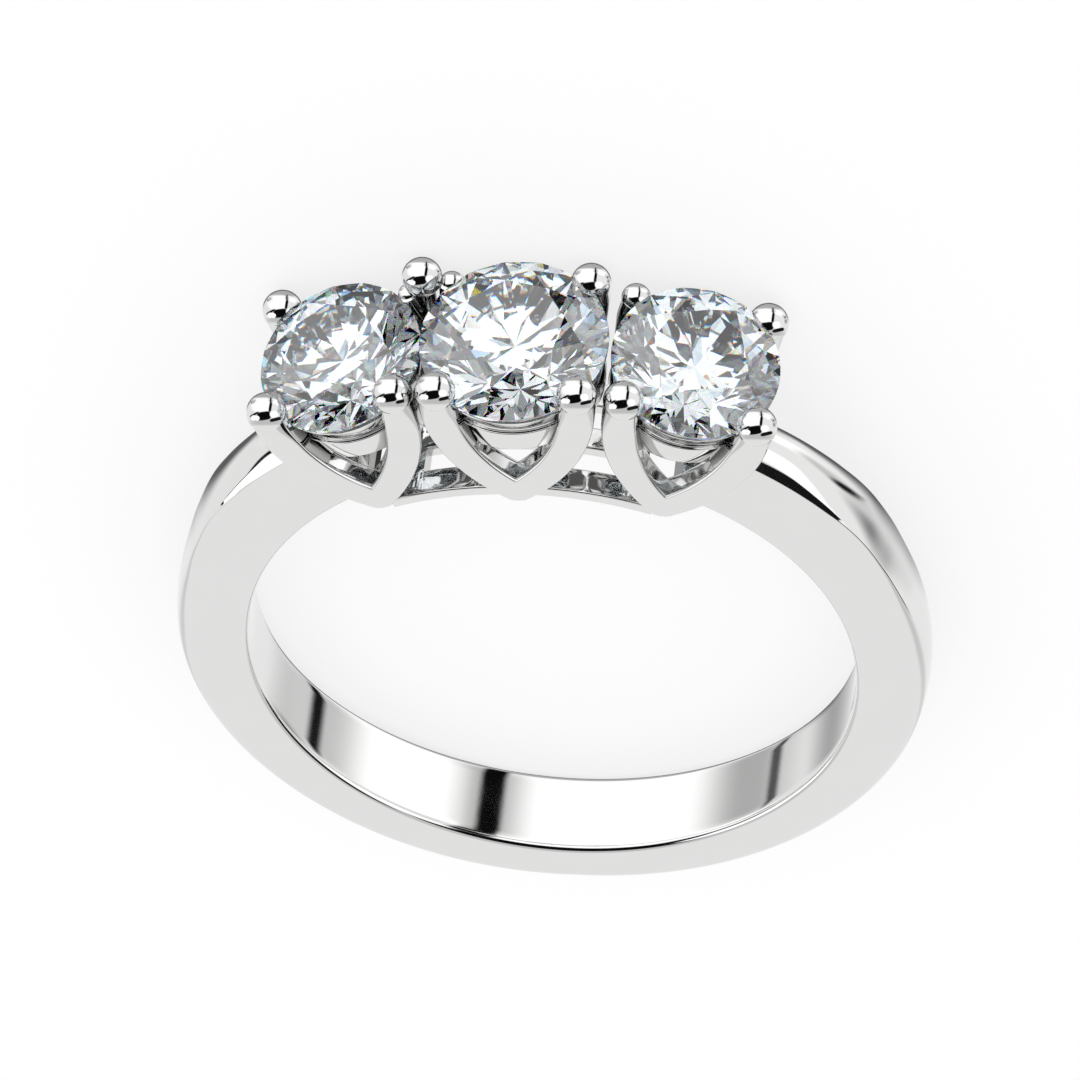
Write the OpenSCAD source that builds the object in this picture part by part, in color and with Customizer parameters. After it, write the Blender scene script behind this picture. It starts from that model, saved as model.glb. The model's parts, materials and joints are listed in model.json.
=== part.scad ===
// Three stone ring: a tapered polished band, three four-prong heads in a curved row and three round brilliants.
// Millimetres. The ring lies on its side as it rests, finger hole nearly upright, stones toward +Y, front up.
// In the ring's own frame X runs along the row, Y from front to back along the finger, Z from the hole to the stones.

/* [Nodes] */
// Names of the separate pieces
// Piece to draw, or all

/* [Band] */
// Finger hole diameter
hole_d = 16.5; // [15.8:0.1:17.2]
// Band thickness opposite the stones
band_t_bottom = 1.5; // [1.45:0.05:1.55]
// Band thickness at the two sides
band_t_side = 1.94; // [1.9:0.02:1.98]
// Height of the flat facet on each shoulder above the hole
facet_t = 2.05; // [2.01:0.02:2.09]
// Band width opposite the stones
band_w_bottom = 2.6; // [2.4:0.1:2.7]
// Band width level with the head
band_w_top = 1.7; // [1.5:0.1:2.0]
// Radius of the domed outer surface across the band
dome_r = 2.4; // [2.2:0.1:2.8]
// Radius of the band's outer corners
corner_r = 0.42; // [0.36:0.02:0.48]
// Bevel at each edge of the finger hole
hole_bevel = 0.2; // [0.1:0.05:0.25]
// Angle from the centre stone to the end of each shoulder
shoulder_angle = 30; // [29:0.5:31]

/* [Stones] */
// Centre stone diameter
centre_d = 4.95; // [4.85:0.05:5.0]
// Side stone diameter
side_d = 4.45; // [4.3:0.05:4.5]
// Table width as a share of the diameter
table_share = 0.56; // [0.53:0.01:0.6]
// Crown angle
crown_angle = 34.5; // [33:0.5:36]
// Pavilion angle
pavilion_angle = 40.8; // [40:0.2:41.6]
// Girdle thickness
girdle_t = 0.14; // [0.1:0.02:0.18]
// Gap between each stone and the metal
stone_gap = 0.03; // [0.02:0.01:0.05]

/* [Heads] */
// Girdle height above the finger hole, measured in each head's own tilt
girdle_rise = 4.15; // [4.05:0.05:4.3]
// Tilt of the side heads
head_tilt = 15; // [14.8:0.1:15.5]
// Offset of a side head's own axis from the hole centre
head_shift = 1.46; // [1.45:0.01:1.52]
// Distance of the centre prongs from the head axis along the row
centre_prong_x = 1.84; // [1.78:0.02:1.9]
// Distance of the side prongs from the head axis along the row
side_prong_x = 1.76; // [1.73:0.01:1.8]
// Distance of the centre prongs from the middle, front to back
centre_prong_y = 1.87; // [1.83:0.01:1.91]
// Distance of the side prongs from the middle, front to back
side_prong_y = 1.72; // [1.68:0.02:1.78]
// Bead radius on the prong ends
bead_r = 0.53; // [0.51:0.01:0.55]
// Bead centre height above the girdle
bead_rise = 0.34; // [0.28:0.02:0.4]
// Leg width across the prong
leg_w = 0.92; // [0.86:0.02:0.96]
// Leg depth, front to back
leg_t = 0.7; // [0.6:0.05:0.76]
// How far the back legs stand in from the middle of their beads
back_leg_in = 0.06; // [0.04:0.01:0.1]
// Height of the larger bead at the back above the other beads
tall_bead_rise = 0.06; // [0.04:0.01:0.1]
// Distance of that bead from the middle, along the row
tall_bead_x = 2.6; // [2.56:0.01:2.64]
// Radius of that bead's stem
stem_r = 0.26; // [0.24:0.01:0.28]
// Length of that bead's stem
stem_h = 1.3; // [1.2:0.05:1.35]
// Height of the heart tip above the finger hole at the centre head
tip_rise = 0.38; // [0.34:0.02:0.42]
// Rounding of the heart tip
tip_r = 0.5; // [0.4:0.05:0.6]
// Height of the inner notch above the tip
notch_rise = 0.9; // [0.8:0.05:1.0]

/* [Gallery and base] */
// Gallery rail outside radius as a share of its stone's radius
gallery_share = 0.92; // [0.9:0.01:0.94]
// Gallery rail height
gallery_h = 0.72; // [0.6:0.04:0.8]
// Depth of the gallery rail's top below the girdle
gallery_drop = 0.93; // [0.88:0.01:0.98]
// How far the seat collar stays inside the stone's edge
collar_in = 0.09; // [0.07:0.01:0.12]
// Depth of the seat collar's top below the girdle
collar_drop = 0.2; // [0.16:0.02:0.24]
// Inside radius of the gallery as a share of its stone's radius
gallery_hole_share = 0.62; // [0.56:0.02:0.66]
// Radial thickness of the base rails
rail_t = 0.35; // [0.31:0.02:0.43]
// Width of each base rail, front to back
rail_w = 0.78; // [0.6:0.02:0.84]
// Clearance of the base rails outside the finger hole
rail_clear = 0.2; // [0.16:0.02:0.22]
// Outer face of the front and back base rails, from the middle
rail_out = 1.85; // [1.8:0.01:1.9]
// Width of the middle base rail
mid_rail_w = 0.7; // [0.5:0.05:0.8]
// Angle from the centre to the cross bars of the base
cross_angle = 19.5; // [18.5:0.5:20.5]
// Angular width of each cross bar
cross_span = 4; // [3:0.5:5]
// Height of the shoulder bar's underside above the hole
shoulder_bar_rise = 1.05; // [0.95:0.05:1.15]
// Thickness of the shoulder bar
shoulder_bar_t = 0.75; // [0.6:0.05:0.85]
// Width of the shoulder bar, front to back
shoulder_bar_w = 3.2; // [3.1:0.05:3.3]
// Angular width of the shoulder bar
shoulder_bar_span = 5.6; // [5.4:0.1:5.8]
// Angle from the centre to the ends of the front and back base rails
rail_end_angle = 23.5; // [23.2:0.1:23.8]

/* [Hidden] */
$fn = 96;
hole_r = hole_d / 2;
bottom_r = hole_r + band_t_bottom;
side_r = hole_r + band_t_side;
// The lower outside of the band is one circle about a centre set above the hole's centre.
crown_r = (bottom_r + side_r * side_r / bottom_r) / 2;
crown_z = (side_r * side_r / bottom_r - bottom_r) / 2;
// Half width of the band level with the hole centre, and its change for each millimetre up
taper = (band_w_top - band_w_bottom) / 2 / (hole_r + bottom_r);
half_w = band_w_bottom / 2 + taper * bottom_r;
lean = atan(taper);
// Rounded corners, tangent to the dome
side_y = band_w_bottom / 2 + 0.03;
corner_y = side_y - corner_r;
corner_dip = dome_r - sqrt(pow(dome_r - corner_r, 2) - corner_y * corner_y);
dome_slope = asin(corner_y / (dome_r - corner_r));
girdle_z = hole_r + girdle_rise;
bead_z = girdle_z + bead_rise;
tip_z = hole_r + tip_rise;
rail_in_r = hole_r + rail_clear;
rail_out_r = rail_in_r + rail_t;
// Outer and inner arcs of the heart: the widest point sits just under the bead.
arc_z = bead_z - 0.1;
arc_h = arc_z - tip_z;
notch_h = arc_h - notch_rise;
cut_z = girdle_z - 0.35;
big = 40;

// The ring rests on the centre stone's back girdle facet and on the back edge of the band.
edge_z = crown_z - crown_r + corner_dip;
low_z = edge_z - sqrt(corner_r * corner_r - pow(half_at(edge_z) - corner_y, 2));
edge_y = half_at(low_z);
stone_y = centre_d / 2 * cos(180 / 16);
stone_z = girdle_z - girdle_t / 2;
rest_tilt = atan((stone_y - edge_y) / (stone_z - low_z));
rest_z = stone_y * cos(rest_tilt) - stone_z * sin(rest_tilt);
// Middle of the box the resting ring fills, from its outermost bead to the bottom of the band
row_end = (bead_z + tall_bead_rise) * cos(rest_tilt) + centre_prong_y * sin(rest_tilt) + bead_r;
band_end = (bottom_r - dome_r) * cos(rest_tilt) + dome_r;
rest_y = (band_end - row_end) / 2;

metal_colour = [0.86, 0.86, 0.87];
stone_colour = [0.93, 0.95, 0.98, 0.75];

// Heads: share of tilt, share of axis shift, stone diameter, prong x, prong y
head_side = 0;
head_d = 1;
head_px = 2;
head_py = 3;
heads = [
  [0, centre_d, centre_prong_x, centre_prong_y],
  [-1, side_d, side_prong_x, side_prong_y],
  [1, side_d, side_prong_x, side_prong_y]
];
// Beads: head, side along the row, side front to back, share of bead_r, drop below bead_z
bead_head = 0;
bead_x = 1;
bead_y = 2;
bead_share = 3;
bead_drop = 4;
beads = [
  [0, -1, -1, 1, 0],
  [0, 1, -1, 1, 0],
  [0, 1, 1, 1, 0],
  [0, -1, 1, 0.68, 0.22],
  [1, -1, -1, 1, 0],
  [1, 1, -1, 1, 0],
  [1, -1, 1, 1, 0],
  [1, 1, 1, 0.64, 0.2],
  [2, -1, -1, 1, 0],
  [2, 1, -1, 1, 0],
  [2, 1, 1, 1, 0],
  [2, -1, 1, 0.73, 0.02]
];

// Half width of the band's front and back faces at height z
function half_at(z) = half_w + taper * z;

module place() {
  translate([0, rest_y, rest_z])
    rotate([rest_tilt - 90, 0, 0])
      children();
}

module in_head(h) {
  rotate([0, heads[h][head_side] * head_tilt, 0])
    translate([heads[h][head_side] * head_shift, 0, 0])
      children();
}

// Extrudes a profile drawn in X and Z from y0 to y1.
module slab(y0, y1) {
  translate([0, y1, 0])
    rotate([90, 0, 0])
      linear_extrude(height = y1 - y0)
        children();
}

// Sector between two angles measured from the top
module sector(a0, a1) {
  polygon([
    [0, 0],
    [big * sin(a0), big * cos(a0)],
    [big * sin((a0 + a1) / 2), big * cos((a0 + a1) / 2)],
    [big * sin(a1), big * cos(a1)]
  ]);
}

module arc_bar(r0, r1, a0, a1, y0, y1) {
  slab(y0, y1)
    intersection() {
      difference() {
        circle(r = r1);
        circle(r = r0);
      }
      sector(a0, a1);
    }
}

// Cross section of the band: a domed top running tangent into rounded corners
module band_section() {
  inner = hole_r - 1.5;
  centre = crown_r - corner_dip;
  touch_x = centre + corner_r * cos(dome_slope);
  touch_y = corner_y + corner_r * sin(dome_slope);
  intersection() {
    union() {
      polygon([
        [inner, -side_y],
        [centre, -side_y],
        [touch_x, -touch_y],
        [crown_r + 1, -touch_y],
        [crown_r + 1, touch_y],
        [touch_x, touch_y],
        [centre, side_y],
        [inner, side_y]
      ]);
      for (s = [-1, 1])
        translate([centre, s * corner_y])
          circle(r = corner_r);
    }
    union() {
      translate([crown_r - dome_r, 0])
        circle(r = dome_r);
      translate([inner, -side_y])
        square([centre - inner, 2 * side_y]);
      for (s = [-1, 1])
        translate([centre, s * corner_y])
          circle(r = corner_r);
    }
  }
}

module hole_edge_bevel() {
  translate([0, -half_w, 0])
    rotate([lean + 90, 0, 0])
      translate([0, 0, -hole_bevel - 0.3])
        cylinder(h = hole_bevel + 0.8, r1 = hole_r - 0.3, r2 = hole_r + hole_bevel + 0.5);
}

module band() {
  difference() {
    intersection() {
      translate([0, 0, crown_z])
        rotate([90, 0, 0])
          rotate_extrude()
            band_section();
      // Front and back faces draw together toward the head
      rotate([90, 0, 90])
        linear_extrude(height = 30, center = true)
          polygon([
            [-half_at(-12), -12],
            [half_at(-12), -12],
            [half_at(12), 12],
            [-half_at(12), 12]
          ]);
      // Flat facets of the shoulders
      slab(-5, 5)
        circle(r = hole_r + facet_t);
    }
    slab(-6, 6)
      circle(r = hole_r);
    hole_edge_bevel();
    mirror([0, 1, 0])
      hole_edge_bevel();
    slab(-6, 6)
      sector(-shoulder_angle, shoulder_angle);
  }
}

// Region inside a pair of equal arcs that meet at height z0 and stand w apart at height z1
module lens(z0, z1, w) {
  h = z1 - z0;
  r = (h * h + w * w) / (2 * w);
  intersection() {
    translate([w - r, z1])
      circle(r = r);
    translate([r - w, z1])
      circle(r = r);
  }
}

// One heart shaped frame in a head, before the prong ends are shaped
module heart_profile(px) {
  out_w = px + leg_w / 2;
  in_w = px - leg_w / 2;
  difference() {
    intersection() {
      union() {
        lens(tip_z - 0.1, arc_z, out_w);
        translate([0, tip_z + tip_r])
          circle(r = tip_r);
      }
      translate([-4, tip_z])
        square([8, bead_z - tip_z]);
    }
    lens(tip_z + notch_rise, arc_z, in_w);
    translate([-in_w, arc_z])
      square([2 * in_w, 2]);
  }
}

module heart(h, s) {
  y = s * heads[h][head_py] - (s > 0 ? back_leg_in : 0);
  slab(y - leg_t / 2, y + leg_t / 2)
    heart_profile(heads[h][head_px]);
}

// Keeps the legs whole up to cut_z and rounds them toward the beads above it.
module leg_ends(h) {
  translate([-5, -5, 0])
    cube([10, 10, cut_z]);
  for (b = beads)
    if (b[bead_head] == h)
      translate([b[bead_x] * heads[h][head_px], b[bead_y] * heads[h][head_py], cut_z - 0.01])
        cylinder(
          h = bead_z - b[bead_drop] - cut_z,
          r1 = 0.62,
          r2 = bead_r * b[bead_share] * 0.94,
          $fn = 48
        );
}

module head_beads(h) {
  for (b = beads)
    if (b[bead_head] == h)
      translate([b[bead_x] * heads[h][head_px], b[bead_y] * heads[h][head_py], bead_z - b[bead_drop]])
        sphere(r = bead_r * b[bead_share], $fn = 48);
}

// Gallery rail with a flared seat collar above it
module gallery(h) {
  stone_r = heads[h][head_d] / 2;
  r = stone_r * gallery_share;
  top = girdle_z - gallery_drop;
  collar_top = girdle_z - girdle_t / 2 - collar_drop;
  difference() {
    union() {
      translate([0, 0, top - gallery_h])
        cylinder(h = gallery_h, r = r);
      translate([0, 0, top - 0.02])
        cylinder(h = collar_top - top + 0.02, r1 = r - 0.08, r2 = stone_r - collar_in);
    }
    translate([0, 0, top - gallery_h - 1])
      cylinder(h = gallery_h + 3, r = stone_r * gallery_hole_share);
  }
}

// Brilliant proportions for diameter d, heights measured from the girdle's middle
star_share = 0.76;
lower_share = 0.23;
function table_r(d) = d / 2 * table_share;
function crown_top(d) = girdle_t / 2 + tan(crown_angle) * (d / 2 - table_r(d));
function star_z(d) = girdle_t / 2 + tan(crown_angle) * d / 2 * (1 - star_share * cos(22.5));
function lower_z(d) = -girdle_t / 2 - tan(pavilion_angle) * d / 2 * (1 - lower_share * cos(22.5));
function culet_z(d) = -girdle_t / 2 - tan(pavilion_angle) * d / 2;

// Space a stone needs, turned about its axis
module stone_space(h) {
  d = heads[h][head_d];
  r = d / 2;
  g = stone_gap;
  translate([0, 0, girdle_z])
    rotate_extrude()
      polygon([
        [0, culet_z(d) - 2 * g],
        [lower_share * r + g, lower_z(d) - g],
        [r + g, -girdle_t / 2 - g],
        [r + g, girdle_t / 2 + g],
        [star_share * r + g, star_z(d) + g],
        [table_r(d) + g, crown_top(d) + g],
        [table_r(d) + g, crown_top(d) + 1],
        [0, crown_top(d) + 1]
      ]);
}

module head_metal(h) {
  in_head(h)
    union() {
      for (s = [-1, 1])
        intersection() {
          heart(h, s);
          leg_ends(h);
        }
      head_beads(h);
      gallery(h);
    }
}

// A larger bead at the back, on a short stem between the left and centre heads
module back_bead() {
  translate([-tall_bead_x, centre_prong_y, bead_z + tall_bead_rise])
    sphere(r = bead_r, $fn = 48);
  translate([0.06 - tall_bead_x, centre_prong_y - 0.05, bead_z - stem_h])
    cylinder(h = stem_h, r = stem_r, $fn = 48);
}

// Rails that close the finger hole under the heads
module base() {
  bar_r = hole_r + shoulder_bar_rise;
  bar_angle = shoulder_angle - 2;
  bar_half = shoulder_bar_span / 2;
  bar_y = shoulder_bar_w / 2;
  end = rail_end_angle;
  for (s = [-1, 1]) {
    arc_bar(rail_in_r, rail_out_r, -end, end, s * rail_out - (s > 0 ? rail_w : 0), s * rail_out + (s > 0 ? 0 : rail_w));
    arc_bar(rail_in_r, rail_out_r, s * cross_angle - cross_span / 2, s * cross_angle + cross_span / 2, -rail_out + 0.1, rail_out - 0.1);
    // Shoulder bar that ties the outer legs to the band
    arc_bar(bar_r, bar_r + shoulder_bar_t, s * bar_angle - bar_half, s * bar_angle + bar_half, -bar_y, bar_y);
  }
  arc_bar(rail_in_r, rail_out_r, -cross_angle, cross_angle, -mid_rail_w / 2, mid_rail_w / 2);
}

module ring_body() {
  color(metal_colour)
    place()
      difference() {
        union() {
          band();
          base();
          head_metal(0);
          head_metal(1);
          head_metal(2);
          back_bead();
        }
        for (h = [0, 1, 2])
          in_head(h)
            stone_space(h);
      }
}

// Round brilliant with a table, 8 stars, 8 kites, 16 upper halves, 16 lower halves and 8 pavilion mains
module brilliant(d) {
  r = d / 2;
  tr = table_r(d);
  sr = star_share * r;
  lr = lower_share * r;
  table = [for (i = [0:7]) [tr * cos(45 * i), tr * sin(45 * i), crown_top(d)]];
  stars = [for (i = [0:7]) [sr * cos(45 * i + 22.5), sr * sin(45 * i + 22.5), star_z(d)]];
  upper = [for (i = [0:15]) [r * cos(22.5 * i), r * sin(22.5 * i), girdle_t / 2]];
  lower = [for (i = [0:15]) [r * cos(22.5 * i), r * sin(22.5 * i), -girdle_t / 2]];
  mains = [for (i = [0:7]) [lr * cos(45 * i + 22.5), lr * sin(45 * i + 22.5), lower_z(d)]];
  t0 = 0;
  s0 = 8;
  u0 = 16;
  l0 = 32;
  m0 = 48;
  c0 = 56;
  faces = concat(
    [[for (i = [7:-1:0]) t0 + i]],
    [for (i = [0:7]) [t0 + i, t0 + (i + 1) % 8, s0 + i]],
    [for (i = [0:7]) [t0 + i, s0 + i, u0 + 2 * i, s0 + (i + 7) % 8]],
    [for (i = [0:7]) [s0 + i, u0 + 2 * i + 1, u0 + 2 * i]],
    [for (i = [0:7]) [s0 + i, u0 + (2 * i + 2) % 16, u0 + 2 * i + 1]],
    [for (i = [0:15]) [u0 + i, u0 + (i + 1) % 16, l0 + (i + 1) % 16, l0 + i]],
    [for (i = [0:7]) [m0 + i, l0 + 2 * i, l0 + 2 * i + 1]],
    [for (i = [0:7]) [m0 + i, l0 + 2 * i + 1, l0 + (2 * i + 2) % 16]],
    [for (i = [0:7]) [c0, m0 + (i + 7) % 8, l0 + 2 * i, m0 + i]]
  );
  polyhedron(points = concat(table, stars, upper, lower, mains, [[0, 0, culet_z(d)]]), faces = faces);
}

module stone(h, turn) {
  color(stone_colour)
    place()
      in_head(h)
        translate([0, 0, girdle_z])
          rotate([0, 0, turn])
            brilliant(heads[h][head_d]);
}

module centre_stone() {
  stone(0, 180 / 16);
}

module left_stone() {
  stone(1, 9);
}

module right_stone() {
  stone(2, -6);
}

ring_body();
centre_stone();
left_stone();
right_stone();
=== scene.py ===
"""Three stone ring, dressed for the camera.

Polished white metal, three brilliants, a pale floor and soft light.
"""

import json
import math

import bpy
import numpy as np
from mathutils import Matrix, Vector


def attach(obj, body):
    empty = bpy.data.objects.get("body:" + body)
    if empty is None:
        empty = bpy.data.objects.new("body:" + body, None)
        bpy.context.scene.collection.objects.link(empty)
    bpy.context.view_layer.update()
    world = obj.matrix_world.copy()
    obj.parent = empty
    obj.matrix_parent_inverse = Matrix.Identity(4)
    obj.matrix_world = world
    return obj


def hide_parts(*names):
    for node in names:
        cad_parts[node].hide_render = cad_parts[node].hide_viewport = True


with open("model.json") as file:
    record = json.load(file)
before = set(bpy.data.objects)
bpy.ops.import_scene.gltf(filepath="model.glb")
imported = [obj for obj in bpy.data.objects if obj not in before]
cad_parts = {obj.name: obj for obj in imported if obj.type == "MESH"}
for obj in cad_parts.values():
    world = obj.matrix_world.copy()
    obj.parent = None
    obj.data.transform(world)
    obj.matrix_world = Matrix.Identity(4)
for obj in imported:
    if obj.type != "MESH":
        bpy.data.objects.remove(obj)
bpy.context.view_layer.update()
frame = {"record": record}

# The ring's own frame, in millimetres: X along the row, Y from front to back along the finger,
# Z up to the stones. Its place comes from the finger hole's mount in the frame.
MM = 0.001
hole = next(m for m in frame["record"]["mounts"] if m["name"] == "finger")
HOLE_R = hole["dims"]["r_mm"]
ALONG = Vector((1, 0, 0))
BACK = Vector(hole["axis"]).normalized()
UP = ALONG.cross(BACK)
TURN = Matrix((ALONG, BACK, UP)).transposed()
PLACE = Matrix.Translation(Vector(hole["pos_m"])) @ TURN.to_4x4() @ Matrix.Scale(MM, 4)

# Band. Angles round it are in degrees from the stones.
BAND_W_BOTTOM = 2.6
BAND_W_TOP = 1.7
BOTTOM_R = HOLE_R + 1.5
TAPER = (BAND_W_TOP - BAND_W_BOTTOM) / 2 / (HOLE_R + BOTTOM_R)
HALF_W = BAND_W_BOTTOM / 2 + TAPER * BOTTOM_R
HOLE_EDGE_R = 0.19
FACE_BULGE = 0.02
SHOULDER_END = 29.5
# Depth below the crown at which the band's width is taken for its outer edge
WIDTH_DEPTH = 0.3
# Radius of the crown, by angle
CROWN = (
    (29, 11.06),
    (40, 10.97),
    (46, 10.83),
    (52, 10.69),
    (58, 10.56),
    (64, 10.41),
    (72, 10.3),
    (90, 10.24),
    (110, 10.13),
    (135, 9.98),
    (180, 9.8),
)
# Radius of the outer edge's rounding, by angle
EDGE = ((29, 0.05), (56, 0.05), (64, 0.1), (74, 0.28), (84, 0.42), (180, 0.42))
# Slope of the dome at its edge in degrees, by angle
DOME = ((29, 50), (40, 45), (46, 36), (52, 27), (58, 19), (66, 13), (180, 13))
# Share of the half width taken by the steep flank of each shoulder, by angle
FLANK = ((29, 0.24), (40, 0.19), (46, 0.12), (52, 0.06), (58, 0.03), (180, 0.03))
# Slope of the flank in degrees, and the shares over which it turns to that from the dome's slope
FLANK_SLOPE = 54
FLANK_TURNS = (0.035, 0.09)
# Steps round the band, and along each stretch of half its section
BAND_STEPS = 360
WALL_STEPS = 6
HOLE_EDGE_STEPS = 6
FACE_STEPS = 8
EDGE_STEPS = 10
FLANK_STEPS = 6
DOME_STEPS = 18

# Stones
CENTRE_D = 4.95
SIDE_D = 4.45
TABLE_SHARE = 0.56
STAR_SHARE = 0.76
LOWER_SHARE = 0.23
CROWN_ANGLE = math.radians(34.5)
PAVILION_ANGLE = math.radians(40.8)
GIRDLE_T = 0.14
GIRDLE_Z = HOLE_R + 4.15
# Main facets round each stone, and the degrees that a main and a half take up
MAINS = 8
MAIN_DEGREES = 360 / MAINS
HALF_DEGREES = MAIN_DEGREES / 2

# Heads
HEAD_TILT = math.radians(15)
HEAD_SHIFT = 1.46
BEAD_R = 0.53
BEAD_Z = GIRDLE_Z + 0.34
TALL_BEAD = (-2.6, 1.87, BEAD_Z + 0.06)
LEG_W = 0.92
LEG_T = 0.7
LEG_EDGE_R = 0.1
TIP_Z = HOLE_R + 0.38
TIP_R = 0.5
NOTCH_RISE = 0.9
BACK_LEG_IN = 0.06
# The heart's arcs stand widest at ARC_Z. The outer ones would meet below the tip, which is round.
ARC_Z = BEAD_Z - 0.1
ARCS_MEET_Z = TIP_Z - 0.1
ARC_STEPS = 240
LEG_SECTIONS = 56
# Heights between which a leg turns round, the width of its round end as a share of its bead's,
# and the end's corner radius as a share of that width
ROUND_Z = (GIRDLE_Z - 1.0, BEAD_Z - 0.05)
NECK_SHARE = 0.9
NECK_CORNER_SHARE = 0.46

# Gallery
GALLERY_SHARE = 0.92
GALLERY_TOP = GIRDLE_Z - 0.93
GALLERY_H = 0.72
GALLERY_HOLE_SHARE = 0.62
GALLERY_EDGE_R = 0.035
COLLAR_IN = 0.09
COLLAR_TOP = GIRDLE_Z - GIRDLE_T / 2 - 0.2
SEAT_CLEARANCE = 0.05
# In from the rail's side and up from its top: the end of its ledge, and the start of the collar
LEDGE_END = (0.09, 0.01)
COLLAR_START = (0.07, 0.07)
# In and down from the collar's upper edge
COLLAR_CHAMFER = (0.02, 0.03)
# Most of a side that a rounded corner may take
CUT_SHARE = 0.45

# Base
RAIL_IN_R = HOLE_R + 0.2
RAIL_OUT_R = RAIL_IN_R + 0.35
RAIL_OUT = 1.85
RAIL_W = 0.78
RAIL_END_ANGLE = 23.5
MID_RAIL_W = 0.7
CROSS_ANGLE = 19.5
CROSS_SPAN = 4
CROSS_OUT = RAIL_OUT - 0.1
SHOULDER_BAR_R = (HOLE_R + 1.05, HOLE_R + 1.8)
SHOULDER_BAR_ANGLE = 28
SHOULDER_BAR_SPAN = 5.6
SHOULDER_BAR_W = 3.2
BAR_EDGE_R = 0.06
BAR_STEP_DEGREES = 0.8
BAR_STEPS_LEAST = 4
# Stem of the tall bead, and its place beside the bead's middle
STEM_R = 0.26
STEM_H = 1.3
STEM_SHIFT = (0.06, -0.05)
STEM_ROWS = 6
STEM_SIDES = 24

# Angle in degrees from which an edge of the metal is shown sharp
SHARP = 40

# Heads: share of the tilt and shift, diameter of the stone, place of the prongs, turn of the
# stone in degrees, and how far the stone and its gallery lean toward the front in degrees and
# stand higher in millimetres
HEAD_COLUMNS = ("side", "stone_d", "prong_x", "prong_y", "turn", "lean", "lift")
HEAD_ROWS = {
    "centre": (0, CENTRE_D, 1.84, 1.87, 11.25, 5, 0.16),
    "left": (-1, SIDE_D, 1.76, 1.72, 9, 8, 0.08),
    "right": (1, SIDE_D, 1.76, 1.72, -6, 8, 0.26),
}
HEADS = {name: dict(zip(HEAD_COLUMNS, row)) for name, row in HEAD_ROWS.items()}
# Beads of each head: side along the row, front (-1) or back (1), share of the bead radius, drop
BEADS = {
    "centre": ((-1, -1, 1, 0), (1, -1, 1, 0), (1, 1, 1, 0), (-1, 1, 0.68, 0.22)),
    "left": ((-1, -1, 1, 0), (1, -1, 1, 0), (-1, 1, 1, 0), (1, 1, 0.64, 0.2)),
    "right": ((-1, -1, 1, 0), (1, -1, 1, 0), (1, 1, 1, 0), (-1, 1, 0.73, 0.02)),
}

# Camera, in the ring's own frame
CAM_AZIMUTH = math.radians(12.297)
CAM_ELEVATION = math.radians(51.866)
CAM_ROLL = math.radians(-7.965)
CAM_DISTANCE = 233.319
CAM_SHIFT = (-0.403, 2.536)
CAM_FOCAL_PX = 8625.48
PHOTO_PX = 1080
SENSOR_MM = 36

# Colours
WHITE = (1, 1, 1, 1)
# Black that the metal's colour is mixed toward for the painted shade deep between the prongs
PAINTED_SHADE_BLACK = (0, 0, 0, 1)

# Metal: tone and roughness in the clouds that polishing leaves, and a fine grain. Scales are per
# metre and lengths are in metres.
METAL_TONES = ((0.79, 0.79, 0.785, 1), (0.82, 0.82, 0.815, 1))
METAL_ROUGHNESS = (0.035, 0.065)
CLOUD_RANGE = (0.3, 0.7)
CLOUD_SCALE = 900.0
CLOUD_DETAIL = 3.0
GRAIN_SCALE = 9000.0
GRAIN_STRENGTH = 0.02
GRAIN_HEIGHT = 0.00001
# Painted shade in the hollows: how far the metal looks for its neighbours, the share of its tone
# that it keeps in the deepest ones, and the openness up to which it keeps only that and from which
# it keeps all
PAINTED_SHADE_REACH = 0.0012
PAINTED_SHADE_SAMPLES = 6
PAINTED_SHADE_TONE = 0.42
PAINTED_SHADE_RANGE = (0.1, 0.6)

# Diamond
DIAMOND_IOR = 2.42
DIAMOND_SPREAD = 0.018
DIAMOND_TINT = (0.97, 0.988, 1)
DIAMOND_CLOUD_SCALE = 300.0
DIAMOND_CLOUD_TONE = 0.99

# Floor, in metres
FLOOR_HALF = 2.0
FLOOR_TONES = ((0.93, 0.93, 0.93, 1), (0.945, 0.945, 0.945, 1))
FLOOR_CLOUD_SCALE = 40.0
FLOOR_ROUGHNESS = 0.9
FLOOR_GLOW = 0.8

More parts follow.
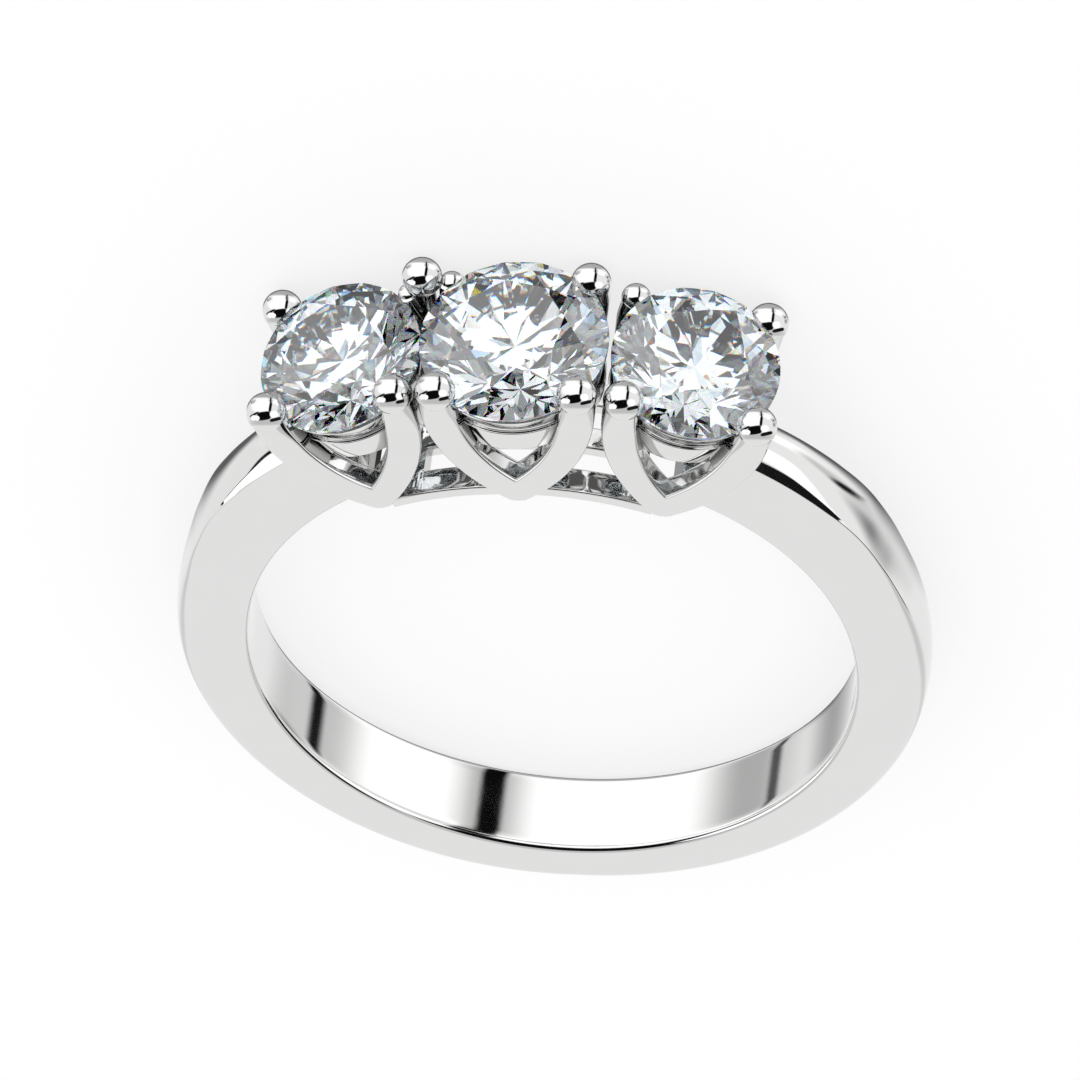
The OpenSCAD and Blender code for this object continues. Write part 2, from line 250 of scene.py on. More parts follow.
# Studio, as a polished ball seen from the photo's side would mirror it. Each card has a place x
# and y on the ball, two half sizes, a turn in degrees, softness, squareness and brightness.
# Later cards cover earlier ones.
CARDS = {
    "top band": (0.0, 0.87, 1.1, 0.21, 0, 0.3, 2, 0.5),
    "bottom band": (0.0, -0.5, 0.8, 0.13, 0, 0.5, 3, 0.62),
    "large softbox": (-0.22, 0.36, 0.5, 0.35, 2, 0.2, 3, 1.3),
    "right softbox": (0.63, 0.17, 0.27, 0.45, 12, 0.2, 3, 0.98),
    "right softbox, above": (0.47, 0.5, 0.26, 0.11, -25, 0.4, 3, 1.3),
    "shoulder shade": (0.84, 0.1, 0.06, 0.1, 0, 0.9, 2, 0.3),
    "left shade": (-0.65, 0.515, 0.14, 0.08, 30, 0.8, 2, 0.5),
    "left line": (-0.735, 0.47, 0.02, 0.05, 30, 0.6, 2, 0.1),
    "right shade": (0.78, 0.31, 0.12, 0.06, -35, 0.9, 2, 0.65),
    "right line": (0.8, 0.295, 0.028, 0.06, -35, 0.6, 2, 0.01),
    "camera side": (-0.11, -0.18, 0.33, 0.21, 8, 0.1, 4, 0.004),
    "left strip": (-0.58, -0.1, 0.24, 0.055, 26, 0.25, 4, 0.01),
    "gap skirt": (0.225, 0.575, 0.1, 0.06, 0, 0.9, 2, 0.5),
    "gap": (0.205, 0.26, 0.07, 0.25, -8, 0.25, 4, 0.004),
    "gap above": (0.213, 0.6, 0.04, 0.14, 0, 0.35, 4, 0.004),
    "lobe": (0.38, -0.1, 0.2, 0.17, 0, 0.12, 2, 1.3),
    "low right": (0.47, -0.35, 0.3, 0.085, 14, 0.12, 4, 0.01),
    "lamp": (-0.62, -0.27, 0.12, 0.12, 0, 0.15, 2, 1.5),
    "lamp beside": (-0.45, -0.29, 0.12, 0.11, 0, 0.15, 2, 1.5),
}
# Grey panels that only the stones show, in the same terms
STONE_CARDS = {
    "camera side, grey": (-0.11, -0.18, 0.33, 0.21, 8, 0.1, 4, 0.2),
    "window": (0.0, 0.185, 0.07, 0.05, 0, 0.1, 4, 0.2),
    "left window": (-0.31, 0.2, 0.09, 0.06, 20, 0.1, 4, 0.2),
    "right window": (0.27, 0.22, 0.07, 0.06, -20, 0.1, 4, 0.2),
}
# Brightness between the cards, for diffuse light, and of the room behind the ring
STUDIO_GREY = 0.92
ROOM_LEVEL = 0.21
RIM_LEVEL = 0.12
# The ball shows that room near its rim, from one distance out to the other, and above the
# horizon, from one height up to the other
RIM_OUT = (0.91, 0.975)
RIM_UP = (0.05, 0.45)


def smooth(a, b, t):
    """0 up to a, 1 from b, and a smooth rise between."""
    s = min(max((t - a) / (b - a), 0), 1)
    return s * s * (3 - 2 * s)


def through(stations, x):
    """A smooth curve through (place, value) stations that never overshoots them."""
    xs, ys = np.array(stations, float).T
    slopes = np.diff(ys) / np.diff(xs)
    m = np.zeros(len(xs))
    m[0], m[-1] = slopes[0], slopes[-1]
    for i in range(1, len(xs) - 1):
        a, b = slopes[i - 1], slopes[i]
        m[i] = 0 if a * b <= 0 else 2 * a * b / (a + b)
    i = int(np.clip(np.searchsorted(xs, x) - 1, 0, len(xs) - 2))
    h = xs[i + 1] - xs[i]
    t = min(max((x - xs[i]) / h, 0), 1)
    return (
        ys[i] * (1 + 2 * t) * (1 - t) ** 2
        + m[i] * h * t * (1 - t) ** 2
        + ys[i + 1] * t * t * (3 - 2 * t)
        + m[i + 1] * h * t * t * (t - 1)
    )


def half_at(z):
    """Half the band's width at height z."""
    return HALF_W + TAPER * z


def in_head(head, points):
    """Points of one head turned and shifted into the ring's own frame."""
    side = HEADS[head]["side"]
    a = side * HEAD_TILT
    p = np.array(points, float)
    x = p[..., 0] + side * HEAD_SHIFT
    z = p[..., 2].copy()
    p[..., 0] = x * math.cos(a) + z * math.sin(a)
    p[..., 2] = -x * math.sin(a) + z * math.cos(a)
    return p


def leaning(head, points):
    """Points of a head's stone or gallery after they lean about the middle of the girdle."""
    a = math.radians(HEADS[head]["lean"])
    p = np.array(points, float)
    y = p[..., 1].copy()
    z = p[..., 2] - GIRDLE_Z
    p[..., 1] = y * math.cos(a) - z * math.sin(a)
    p[..., 2] = z * math.cos(a) + y * math.sin(a) + GIRDLE_Z + HEADS[head]["lift"]
    return in_head(head, p)


class Solid:
    """Gathers points and faces of one piece, in the ring's own frame."""

    def __init__(self):
        self.points = []
        self.faces = []

    def add(self, points, faces):
        n = len(self.points)
        self.points += [tuple(p) for p in np.asarray(points, float).reshape(-1, 3)]
        self.faces += [tuple(n + i for i in f) for f in faces]

    def loft(self, rows, closed=False):
        """Skins rings of points, each closed on itself, and caps the ends unless the rows close."""
        rows = np.asarray(rows, float)
        count, size = rows.shape[:2]
        faces = []
        for i in range(count if closed else count - 1):
            j = (i + 1) % count
            for k in range(size):
                m = (k + 1) % size
                faces.append((i * size + k, i * size + m, j * size + m, j * size + k))
        if not closed:
            faces.append(tuple(range(size))[::-1])
            faces.append(tuple((count - 1) * size + k for k in range(size)))
        self.add(rows, faces)

    def make(self, name, material, replaced, flat=False, sharp=None):
        """The finished piece in the scene, in metres."""
        mesh = bpy.data.meshes.new(name)
        mesh.from_pydata(self.points, [], self.faces)
        mesh.transform(PLACE)
        mesh.update()
        mesh.validate()
        mesh.polygons.foreach_set("use_smooth", [not flat] * len(mesh.polygons))
        if sharp:
            mesh.set_sharp_from_angle(angle=math.radians(sharp))
        mesh.materials.append(material)
        obj = bpy.data.objects.new(name, mesh)
        bpy.context.scene.collection.objects.link(obj)
        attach(obj, "root")
        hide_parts(replaced)


def rounded_box(width, depth, radius, flats=5, corners=5):
    """Points round a rectangle with rounded corners, as (across, along) pairs."""
    signs = ((1, 1), (-1, 1), (-1, -1), (1, -1))
    points = []
    for k, (sx, sy) in enumerate(signs):
        cx = sx * (width / 2 - radius)
        cy = sy * (depth / 2 - radius)
        for i in range(corners + 1):
            a = math.radians(90 * (k + i / corners))
            points.append((cx + radius * math.cos(a), cy + radius * math.sin(a)))
        # Straight side, on to the start of the next corner
        nx, ny = signs[(k + 1) % 4]
        a = math.radians(90 * (k + 1))
        x0, y0 = points[-1]
        x1 = nx * (width / 2 - radius) + radius * math.cos(a)
        y1 = ny * (depth / 2 - radius) + radius * math.sin(a)
        for i in range(1, flats):
            t = i / flats
            points.append((x0 + (x1 - x0) * t, y0 + (y1 - y0) * t))
    return points


def band_ring(angle):
    """One section of the band, at an angle from the stones toward +X."""
    t = math.radians(angle)
    c, s = math.cos(t), math.sin(t)
    crown, edge, dome, flank = (through(table, abs(angle)) for table in (CROWN, EDGE, DOME, FLANK))
    steep = dome + (FLANK_SLOPE - dome) * smooth(*FLANK_TURNS, flank)
    middle = half_at((crown - WIDTH_DEPTH) * c) - edge
    y_end = middle + edge * math.sin(math.radians(steep))
    y_flank = y_end * (1 - flank)
    # From the crown out to the edge: points (distance from the middle plane, drop below the crown)
    steps = [(y_flank / DOME_STEPS, dome * (i + 0.5) / DOME_STEPS) for i in range(DOME_STEPS)]
    steps += [((y_end - y_flank) / FLANK_STEPS, steep)] * FLANK_STEPS
    top = [(0.0, 0.0)]
    for step, slope in steps:
        y, drop = top[-1]
        top.append((y + step, drop + step * math.tan(math.radians(slope))))
    low = HOLE_R + HOLE_EDGE_R
    high = crown - top[-1][1] - edge * math.cos(math.radians(steep))
    # Half of the section from the middle of the hole's wall to the crown, as points
    # (radius, distance from the middle plane)
    half_section = []

    def side(radius, inset):
        off = (radius - (low + high) / 2) / (high - low) * 2
        bulge = FACE_BULGE * (1 - off * off) if abs(off) < 1 else 0
        half_section.append((radius, half_at(radius * c) - inset + bulge))

    for i in range(WALL_STEPS):
        half_section.append((HOLE_R, (half_at(HOLE_R * c) - HOLE_EDGE_R) * i / WALL_STEPS))
    for i in range(HOLE_EDGE_STEPS + 1):
        a = math.radians(90 * i / HOLE_EDGE_STEPS)
        side(HOLE_R + HOLE_EDGE_R * (1 - math.cos(a)), HOLE_EDGE_R * (1 - math.sin(a)))
    for i in range(1, FACE_STEPS):
        side(low + (high - low) * i / FACE_STEPS, 0)
    for i in range(EDGE_STEPS + 1):
        a = math.radians(90 - (90 - steep) * i / EDGE_STEPS)
        half_section.append((high + edge * math.cos(a), middle + edge * math.sin(a)))
    for y, drop in top[-2::-1]:
        half_section.append((crown - drop, y))
    front = [(r * s, -y, r * c) for r, y in half_section]
    back = [(r * s, y, r * c) for r, y in half_section[-2:0:-1]]
    return front + back


def band(material):
    """The band, from shoulder to shoulder."""
    solid = Solid()
    sweep = 360 - 2 * SHOULDER_END
    angles = [SHOULDER_END + sweep * i / BAND_STEPS for i in range(BAND_STEPS + 1)]
    solid.loft([band_ring(a if a <= 180 else a - 360) for a in angles])
    solid.make("band", material, "ring_body", sharp=SHARP)


def lens_x(z0, z1, w, z):
    """Half width at z between two equal arcs that meet at z0 and stand w from the middle at z1."""
    h = z1 - z0
    r = (h * h + w * w) / (2 * w)
    return w - r + math.sqrt(max(r * r - (z - z1) ** 2, 0))


def evenly(points, count):
    """The same polyline with its points at equal steps of length."""
    p = np.array(points, float)
    run = np.concatenate([[0], np.cumsum(np.linalg.norm(np.diff(p, axis=0), axis=1))])
    at = np.linspace(0, run[-1], count)
    return np.stack([np.interp(at, run, p[:, 0]), np.interp(at, run, p[:, 1])], 1)


def leg_edges(px):
    """Outer and inner edge of one leg, from the heart's tip up to the bead, in X and Z."""
    out_w, in_w = px + LEG_W / 2, px - LEG_W / 2
    outer = [(0, TIP_Z)]
    for i in range(1, ARC_STEPS + 1):
        z = TIP_Z + (BEAD_Z - TIP_Z) * i / ARC_STEPS
        x = lens_x(ARCS_MEET_Z, ARC_Z, out_w, min(z, ARC_Z))
        up = z - TIP_Z
        if up < 2 * TIP_R:
            x = max(x, math.sqrt(max(TIP_R**2 - (TIP_R - up) ** 2, 0)))
        outer.append((x, z))
    notch = TIP_Z + NOTCH_RISE
    inner = [(0, notch)]
    for i in range(1, ARC_STEPS + 1):
        z = notch + (BEAD_Z - notch) * i / ARC_STEPS
        inner.append((lens_x(notch, ARC_Z, in_w, min(z, ARC_Z)), z))
    return evenly(outer, LEG_SECTIONS), evenly(inner, LEG_SECTIONS)


def leg_rows(px, share):
    """Sections of one leg: a rounded bar that turns round below its bead."""
    outer, inner = leg_edges(px)
    neck = 2 * NECK_SHARE * BEAD_R * share
    rows = []
    for o, i in zip(outer, inner):
        width = float(np.linalg.norm(o - i))
        x, z = (o + i) / 2
        across_x, across_z = (o - i) / width
        top = smooth(*ROUND_Z, z)
        wide = width * (1 - top) + neck * top
        deep = LEG_T * (1 - top) + neck * top
        radius = LEG_EDGE_R * (1 - top) + NECK_CORNER_SHARE * min(wide, deep) * top
        box = rounded_box(wide, deep, radius)
        rows.append([(x + across_x * a, b, z + across_z * a) for a, b in box])
    return np.array(rows)


def heart(solid, head, front_back):
    """Two legs of one head that meet in a heart's tip, at the front (-1) or the back (1)."""
    y = front_back * HEADS[head]["prong_y"] - (BACK_LEG_IN if front_back > 0 else 0)
    shares = {side: share for side, row, share, _ in BEADS[head] if row == front_back}
    for side in (-1, 1):
        rows = leg_rows(HEADS[head]["prong_x"], shares[side])
        rows[..., 0] *= side
        rows[..., 1] += y
        if side < 0:
            rows = rows[:, ::-1]
        solid.loft(in_head(head, rows))


def ball(solid, head, centre, radius, columns=48, rows=24):
    """A bead: rings of points between two poles."""
    points = [(0, 0, radius)]
    for i in range(1, rows):
        a = math.pi * i / rows
        for k in range(columns):
            b = 2 * math.pi * k / columns
            out = radius * math.sin(a)
            points.append((out * math.cos(b), out * math.sin(b), radius * math.cos(a)))
    points.append((0, 0, -radius))
    faces = [(0, 1 + k, 1 + (k + 1) % columns) for k in range(columns)]
    for i in range(rows - 2):
        for k in range(columns):
            a, b = 1 + i * columns + k, 1 + i * columns + (k + 1) % columns
            faces.append((a, a + columns, b + columns, b))
    last, end = len(points) - 1, 1 + (rows - 2) * columns
    faces += [(last, end + (k + 1) % columns, end + k) for k in range(columns)]
    p = np.array(points) + np.array(centre)
    solid.add(in_head(head, p) if head else p, faces)


def soften(profile, radius, steps=4):
    """A closed profile with each corner rounded, by at most the radius along its sides."""
    out = []
    n = len(profile)
    for i in range(n):
        p, q, r = (np.array(profile[(i + k) % n], float) for k in (-1, 0, 1))
        before, after = np.linalg.norm(p - q), np.linalg.norm(r - q)
        cut = min(radius, CUT_SHARE * before, CUT_SHARE * after)
        a = q + (p - q) / before * cut
        b = q + (r - q) / after * cut
        for k in range(steps + 1):
            t = k / steps
            out.append(a * (1 - t) ** 2 + 2 * q * t * (1 - t) + b * t * t)
    return out


def gallery(solid, head, columns=144):
    """The rail and the flared seat collar under one stone, turned about the head's axis."""
    r = HEADS[head]["stone_d"] / 2
    rail = r * GALLERY_SHARE
    low = GALLERY_TOP - GALLERY_H
    hole_r = r * GALLERY_HOLE_SHARE
    # The lip and the hole's upper edge follow the stone's pavilion
    slope = math.tan(PAVILION_ANGLE)
    lip = r - (GIRDLE_Z - GIRDLE_T / 2 - COLLAR_TOP) / slope + SEAT_CLEARANCE
    hole_z = COLLAR_TOP - (lip - hole_r) * slope
    profile = [
        (hole_r, low),
        (rail, low),
        (rail, GALLERY_TOP),
        (rail - LEDGE_END[0], GALLERY_TOP + LEDGE_END[1]),
        (rail - COLLAR_START[0], GALLERY_TOP + COLLAR_START[1]),
        (r - COLLAR_IN, COLLAR_TOP - COLLAR_CHAMFER[1]),
        (r - COLLAR_IN - COLLAR_CHAMFER[0], COLLAR_TOP),
        (lip, COLLAR_TOP),
        (hole_r, hole_z),
    ]
    profile = soften(profile, GALLERY_EDGE_R)
    rows = []
    for k in range(columns):
        a = 2 * math.pi * k / columns
        rows.append([(x * math.cos(a), x * math.sin(a), z) for x, z in profile])
    solid.loft(leaning(head, rows), closed=True)


def head(name, material):
    """One head: a heart at the front and one at the back, the gallery between, and the beads."""
    solid = Solid()
    heart(solid, name, -1)
    heart(solid, name, 1)
    gallery(solid, name)
    px, py = HEADS[name]["prong_x"], HEADS[name]["prong_y"]
    for side, row, share, drop in BEADS[name]:
        ball(solid, name, (side * px, row * py, BEAD_Z - drop), BEAD_R * share)
    solid.make(name + "_head", material, "ring_body", sharp=SHARP)


def arc_bar(solid, r0, r1, a0, a1, y0, y1):
    """A bar bent round the finger hole, between two angles from the stones."""
    steps = max(BAR_STEPS_LEAST, int(abs(a1 - a0) / BAR_STEP_DEGREES))
    box = rounded_box(r1 - r0, y1 - y0, BAR_EDGE_R, flats=3, corners=4)
    rows = []
    for i in range(steps + 1):
        a = math.radians(a0 + (a1 - a0) * i / steps)
        ring = []
        for across, along in box:
            r = (r0 + r1) / 2 + across
            ring.append((r * math.sin(a), (y0 + y1) / 2 + along, r * math.cos(a)))
        rows.append(ring[::-1])
    solid.loft(rows)


def base(material):
    """Rails that close the finger hole under the heads, bars to the band, and the tall bead."""
    solid = Solid()
    rail_r = (RAIL_IN_R, RAIL_OUT_R)
    cross_half, bar_half = CROSS_SPAN / 2, SHOULDER_BAR_SPAN / 2
    mid_y, bar_y = MID_RAIL_W / 2, SHOULDER_BAR_W / 2
    for s in (-1, 1):
        inner, outer = sorted((s * RAIL_OUT, s * (RAIL_OUT - RAIL_W)))
        cross, bar = s * CROSS_ANGLE, s * SHOULDER_BAR_ANGLE
        arc_bar(solid, *rail_r, -RAIL_END_ANGLE, RAIL_END_ANGLE, inner, outer)
        arc_bar(solid, *rail_r, cross - cross_half, cross + cross_half, -CROSS_OUT, CROSS_OUT)
        arc_bar(solid, *SHOULDER_BAR_R, bar - bar_half, bar + bar_half, -bar_y, bar_y)
    arc_bar(solid, *rail_r, -CROSS_ANGLE, CROSS_ANGLE, -mid_y, mid_y)
    ball(solid, None, TALL_BEAD, BEAD_R)
    x, y = TALL_BEAD[0] + STEM_SHIFT[0], TALL_BEAD[1] + STEM_SHIFT[1]
    turns = np.linspace(0, 2 * math.pi, STEM_SIDES, endpoint=False)
    stem = []
    for z in np.linspace(BEAD_Z - STEM_H, BEAD_Z, STEM_ROWS):
        stem.append([(x + STEM_R * math.cos(a), y + STEM_R * math.sin(a), z) for a in turns])
    solid.loft(stem)
    solid.make("base", material, "ring_body", sharp=SHARP)


def brilliant(head, material, columns=96):
    """A round brilliant: a flat table with stars, kites and halves round it down to a scalloped
    girdle, and halves and mains below."""
    r = HEADS[head]["stone_d"] / 2
    turn = math.radians(HEADS[head]["turn"])
    half_t = GIRDLE_T / 2
    table_r = r * TABLE_SHARE

    def at(radius, degrees, z):
        a = math.radians(degrees)
        return np.array((radius * math.cos(a), radius * math.sin(a), z))

    def edge(apex_share, angle, sign):
        """Meeting points of the main facets, and the points of the girdle's edge all round."""
        rise = math.tan(angle) * (1 - apex_share * math.cos(math.radians(HALF_DEGREES)))
        meet_z = sign * (half_t + rise * r)
        meets = [at(apex_share * r, MAIN_DEGREES * i + HALF_DEGREES, meet_z) for i in range(MAINS)]
        girdle = []
        for k in range(columns):
            turned = 360 * k / columns
            sector = int(turned // HALF_DEGREES)
            a = at(r, HALF_DEGREES * sector, sign * half_t)
            b = at(r, HALF_DEGREES * (sector + 1), sign * half_t)
            n = np.cross(b - a, meets[sector // 2] - a)
            p = at(r, turned, 0)
            z = a[2] - (n[0] * (p[0] - a[0]) + n[1] * (p[1] - a[1])) / n[2]
            girdle.append(at(r, turned, z))
        return meets, girdle

    stars, upper = edge(STAR_SHARE, CROWN_ANGLE, 1)
    mains, lower = edge(LOWER_SHARE, PAVILION_ANGLE, -1)
    top = half_t + math.tan(CROWN_ANGLE) * (r - table_r)
    table = [at(table_r, MAIN_DEGREES * i, top) for i in range(MAINS)]
    culet = [np.array((0, 0, -half_t - math.tan(PAVILION_ANGLE) * r))]
    points = np.array(table + stars + upper + lower + mains + culet)
    # First point of each group: stars, upper edge, lower edge, mains, culet
    s0, u0 = MAINS, 2 * MAINS
    l0 = u0 + columns
    m0 = l0 + columns
    c0 = m0 + MAINS
    step = columns // (2 * MAINS)
    faces = [tuple(range(MAINS))]
    for i in range(MAINS):
        before = (i - 1) % MAINS
        u = [u0 + (2 * i * step + k) % columns for k in range(2 * step + 1)]
        low = [l0 + (2 * i * step + k) % columns for k in range(2 * step + 1)]
        faces.append((i, s0 + i, (i + 1) % MAINS))
        faces.append((i, s0 + before, u[0], s0 + i))
        faces.append((s0 + i, *u[: step + 1]))
        faces.append((s0 + i, *u[step:]))
        faces.append((m0 + i, *low[: step + 1][::-1]))
        faces.append((m0 + i, *low[step:][::-1]))
        faces.append((c0, m0 + i, low[0], m0 + before))
    for k in range(columns):
        n = (k + 1) % columns
        faces.append((l0 + k, l0 + n, u0 + n, u0 + k))
    x, y = points[:, 0].copy(), points[:, 1].copy()
    points[:, 0] = x * math.cos(turn) - y * math.sin(turn)
    points[:, 1] = x * math.sin(turn) + y * math.cos(turn)
    points[:, 2] += GIRDLE_Z
    solid = Solid()
    solid.add(leaning(head, points), faces)
    solid.make(head + "_brilliant", material, head + "_stone", flat=True)


class Nodes:
    """Short calls to add and link shader nodes."""

    def __init__(self, tree):
        self.tree = tree
        tree.nodes.clear()

    def add(self, kind, inputs=None, **settings):
        node = self.tree.nodes.new(kind)
        for key, value in settings.items():
            setattr(node, key, value)
        for key, value in (inputs or {}).items():
            socket = node.inputs[key]
            if isinstance(value, bpy.types.NodeSocket):
                self.tree.links.new(value, socket)
            else:
                socket.default_value = value
        return node

    def math(self, operation, a, b=0.0):
        return self.add("ShaderNodeMath", {0: a, 1: b}, operation=operation).outputs[0]

    def vector(self, operation, a, b=None):
        inputs = {0: a} if b is None else {0: a, 1: b}
        return self.add("ShaderNodeVectorMath", inputs, operation=operation)

    def ramp(self, value, low, high, from_low, from_high):
        """Goes smoothly from low to high while the value goes from from_low to from_high."""
        node = self.add(
            "ShaderNodeMapRange",
            {
                "Value": value,
                "From Min": from_low,
                "From Max": from_high,
                "To Min": low,
                "To Max": high,
            },
            interpolation_type="SMOOTHSTEP",
        )
        return node.outputs["Result"]

    def noise(self, place, scale, detail=2.0):
        inputs = {"Vector": place, "Scale": scale, "Detail": detail}
        return self.add("ShaderNodeTexNoise", inputs).outputs["Fac"]

    def mix_colours(self, share, a, b):
        return self.add("ShaderNodeMix", {0: share, 6: a, 7: b}, data_type="RGBA").outputs[2]

    def mix_values(self, share, a, b):
        return self.add("ShaderNodeMix", {0: share, 2: a, 3: b}, data_type="FLOAT").outputs[0]


def new_material(name):
    """An empty material, its nodes, and the place on the object that its patterns follow."""
    mat = bpy.data.materials.new(name)
    mat.use_nodes = True
    n = Nodes(mat.node_tree)
    return mat, n, n.add("ShaderNodeTexCoord").outputs["Object"]


def white_gold():
    """Polished white metal: a mirror with the faintest cloud of hand polishing, and painted shade
    deep between the prongs.
    """
    mat, n, place = new_material("white_gold")
    cloud = n.noise(place, CLOUD_SCALE, CLOUD_DETAIL)
    grain = n.noise(place, GRAIN_SCALE)
    rough = n.ramp(cloud, *METAL_ROUGHNESS, *CLOUD_RANGE)
    tone = n.mix_colours(cloud, *METAL_TONES)
    # Painted shade: the metal's colour is darkened toward black where other metal stands near, deep
    # between the prongs
    occlusion = n.add(
        "ShaderNodeAmbientOcclusion", {"Distance": PAINTED_SHADE_REACH}, samples=PAINTED_SHADE_SAMPLES
    )
    unshaded_share = n.ramp(occlusion.outputs["AO"], PAINTED_SHADE_TONE, 1.0, *PAINTED_SHADE_RANGE)
    tone = n.mix_colours(unshaded_share, PAINTED_SHADE_BLACK, tone)
    bump = n.add(
        "ShaderNodeBump", {"Height": grain, "Strength": GRAIN_STRENGTH, "Distance": GRAIN_HEIGHT}
    )
    shader = n.add(
        "ShaderNodeBsdfPrincipled",
        {"Base Color": tone, "Metallic": 1.0, "Roughness": rough, "Normal": bump.outputs["Normal"]},
    )
    n.add("ShaderNodeOutputMaterial", {"Surface": shader.outputs[0]})
    return mat


def diamond():
    """Clear stone. The surface that the camera sees splits white light: it bends green more than
    red, and blue more than green."""
    mat, n, place = new_material("diamond")
    cloud = n.noise(place, DIAMOND_CLOUD_SCALE)

    def glass(colour, ior):
        faint = tuple(DIAMOND_CLOUD_TONE * c for c in colour) + (1,)
        tint = n.mix_colours(cloud, faint, (*colour, 1))
        inputs = {"Color": tint, "Roughness": 0.0, "IOR": ior}
        return n.add("ShaderNodeBsdfGlass", inputs).outputs[0]

    red = glass((1, 0, 0), DIAMOND_IOR - DIAMOND_SPREAD)
    green = glass((0, 1, 0), DIAMOND_IOR)
    blue = glass((0, 0, 1), DIAMOND_IOR + DIAMOND_SPREAD)
    split = n.add("ShaderNodeAddShader", {0: red, 1: green}).outputs[0]
    split = n.add("ShaderNodeAddShader", {0: split, 1: blue}).outputs[0]
    first = n.add("ShaderNodeLightPath").outputs["Is Camera Ray"]
    clear = glass(DIAMOND_TINT, DIAMOND_IOR)
    both = n.add("ShaderNodeMixShader", {0: first, 1: clear, 2: split})
    n.add("ShaderNodeOutputMaterial", {"Surface": both.outputs[0]})
    return mat


def pale_floor():
    """A pale matt floor that gives off a little light, so that it stays as white as the photo's."""
    mat, n, place = new_material("pale_floor")
    cloud = n.noise(place, FLOOR_CLOUD_SCALE)
    shader = n.add(
        "ShaderNodeBsdfPrincipled",
        {
            "Base Color": n.mix_colours(cloud, *FLOOR_TONES),
            "Roughness": FLOOR_ROUGHNESS,
            "Emission Color": WHITE,
            "Emission Strength": FLOOR_GLOW,
        },
    )
    n.add("ShaderNodeOutputMaterial", {"Surface": shader.outputs[0]})
    return mat


def floor():
    """The floor, which the ring doesn't mirror or show through its stones."""
    corners = [(x * FLOOR_HALF, y * FLOOR_HALF, 0) for x, y in ((-1, -1), (1, -1), (1, 1), (-1, 1))]
    mesh = bpy.data.meshes.new("floor")
    mesh.from_pydata(corners, [], [(0, 1, 2, 3)])
    mesh.materials.append(pale_floor())
    obj = bpy.data.objects.new("floor", mesh)
    bpy.context.scene.collection.objects.link(obj)
    obj.visible_glossy = False
    obj.visible_transmission = False
    obj.visible_shadow = False


def camera():
    """The photograph's view of the ring, found from the finger hole, the band's edges and the
    beads. Returns its directions right, up and toward it."""
    az, el, roll = CAM_AZIMUTH, CAM_ELEVATION, CAM_ROLL
    toward = Vector((math.sin(az) * math.cos(el), -math.cos(az) * math.cos(el), math.sin(el)))
    right = (-toward).cross(Vector((0, 0, 1))).normalized()
    up = right.cross(-toward)
    turned_right = math.cos(roll) * right + math.sin(roll) * up
    turned_up = -math.sin(roll) * right + math.cos(roll) * up
    centre = toward * CAM_DISTANCE + turned_right * CAM_SHIFT[0] + turned_up * CAM_SHIFT[1]
    axes = [TURN @ turned_right, TURN @ turned_up, TURN @ toward]
    data = bpy.data.cameras.new("camera")
    data.sensor_width = SENSOR_MM
    data.lens = CAM_FOCAL_PX / PHOTO_PX * SENSOR_MM
    data.clip_start = 0.01
    data.clip_end = 10
    obj = bpy.data.objects.new("camera", data)
    turn = Matrix(axes).transposed().to_4x4()
    obj.matrix_world = Matrix.Translation(PLACE @ centre) @ turn
    bpy.context.scene.collection.objects.link(obj)
    bpy.context.scene.camera = obj
    return axes


def card_mask(n, x, y, cx, cy, wide, high, turn, soft, power):
    """1 on a card, 0 beside it, and a soft edge between, at the place x and y on the ball."""
    a = math.radians(turn)
    dx = n.math("SUBTRACT", x, cx)
    dy = n.math("SUBTRACT", y, cy)
    across = n.math("MULTIPLY", dx, math.cos(a) / wide)
    u = n.math("ADD", across, n.math("MULTIPLY", dy, math.sin(a) / wide))
    upward = n.math("MULTIPLY", dy, math.cos(a) / high)
    v = n.math("SUBTRACT", upward, n.math("MULTIPLY", dx, math.sin(a) / high))
    pu = n.math("POWER", n.math("ABSOLUTE", u), power)
    pv = n.math("POWER", n.math("ABSOLUTE", v), power)
    far = n.math("POWER", n.math("ADD", pu, pv), 1 / power)
    return n.ramp(far, 1.0, 0.0, 1 - soft, 1 + soft)


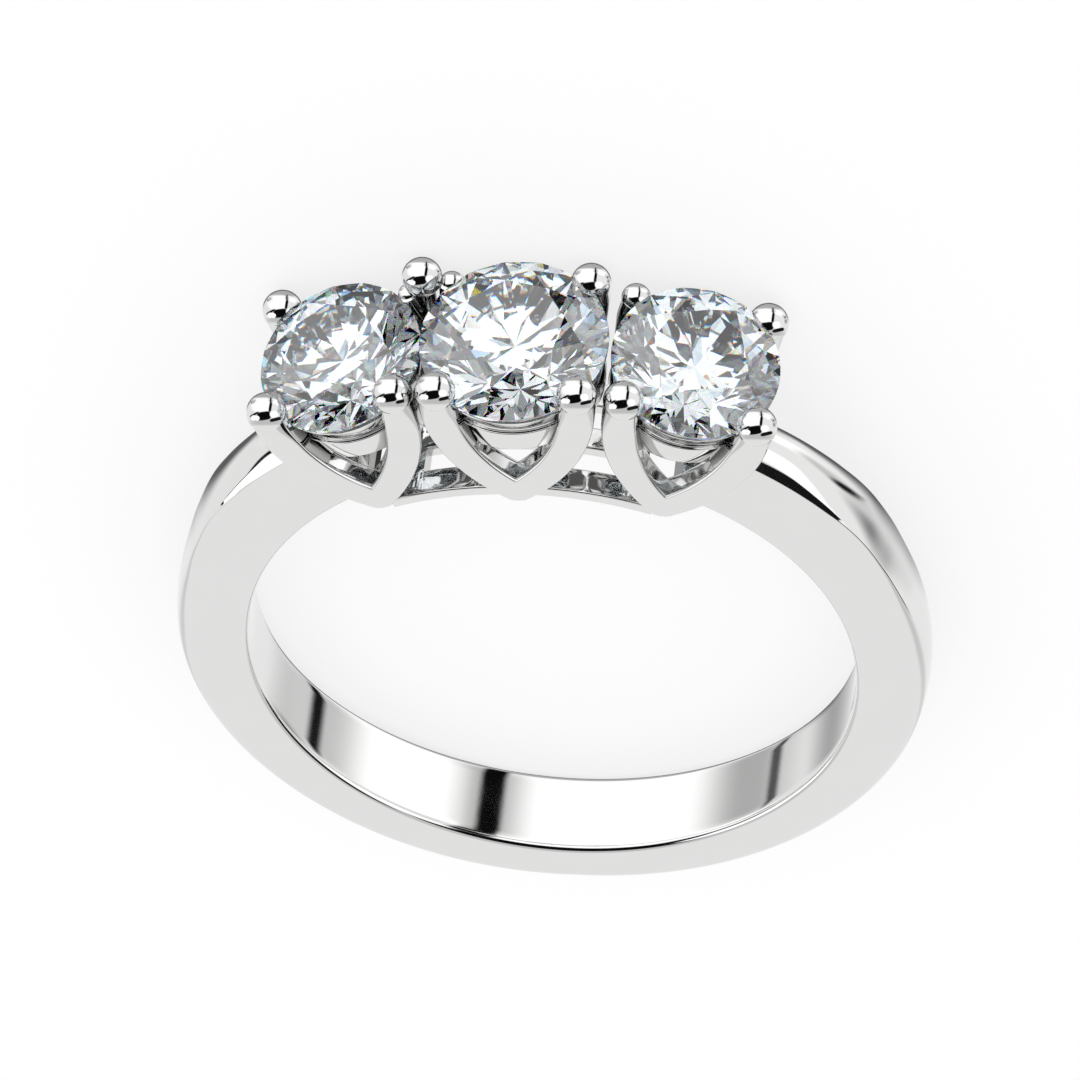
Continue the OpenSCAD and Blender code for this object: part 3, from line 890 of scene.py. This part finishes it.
def studio(axes):
    """Soft light from all round, with the cards in what the metal mirrors and the stones bend."""
    world = bpy.data.worlds.new("studio")
    bpy.context.scene.world = world
    world.use_nodes = True
    n = Nodes(world.node_tree)
    right, up, toward = axes
    # Place on the ball: the direction halfway between a ray and the photo's side
    ray = n.add("ShaderNodeTexCoord").outputs["Generated"]
    middle = n.vector("ADD", ray, toward).outputs[0]
    facing = n.vector("NORMALIZE", middle).outputs[0]
    x = n.vector("DOT_PRODUCT", facing, right).outputs["Value"]
    y = n.vector("DOT_PRODUCT", facing, up).outputs["Value"]
    path = n.add("ShaderNodeLightPath").outputs
    light = STUDIO_GREY
    for *shape, level in CARDS.values():
        light = n.mix_values(card_mask(n, x, y, *shape), light, level)
    for *shape, level in STONE_CARDS.values():
        mask = n.math("MULTIPLY", card_mask(n, x, y, *shape), path["Is Transmission Ray"])
        light = n.mix_values(mask, light, level)
    # The room behind the ring is dark above the horizon
    out = n.math("SQRT", n.math("ADD", n.math("MULTIPLY", x, x), n.math("MULTIPLY", y, y)))
    rim = n.math("MULTIPLY", n.ramp(out, 0.0, 1.0, *RIM_OUT), n.ramp(y, 0.0, 1.0, *RIM_UP))
    light = n.mix_values(rim, light, RIM_LEVEL)
    cards = n.add("ShaderNodeBackground", {"Color": WHITE, "Strength": light})
    plain = n.add("ShaderNodeBackground", {"Color": WHITE, "Strength": ROOM_LEVEL})
    mirrored = n.math("MAXIMUM", path["Is Glossy Ray"], path["Is Transmission Ray"])
    both = n.add("ShaderNodeMixShader", {0: mirrored, 1: plain.outputs[0], 2: cards.outputs[0]})
    n.add("ShaderNodeOutputWorld", {"Surface": both.outputs[0]})
    world.cycles.sampling_method = "NONE"


def light_paths():
    """Enough bounces for the stones, no caustics on the floor, and colours shown as they are."""
    scene = bpy.context.scene
    scene.view_settings.view_transform = "Standard"
    scene.cycles.max_bounces = 24
    scene.cycles.transmission_bounces = 24
    scene.cycles.glossy_bounces = 8
    scene.cycles.blur_glossy = 0
    scene.cycles.caustics_reflective = False
    scene.cycles.caustics_refractive = False


metal = white_gold()
stone = diamond()
band(metal)
base(metal)
for name in HEADS:
    head(name, metal)
    brilliant(name, stone)
floor()
studio(camera())
light_paths()
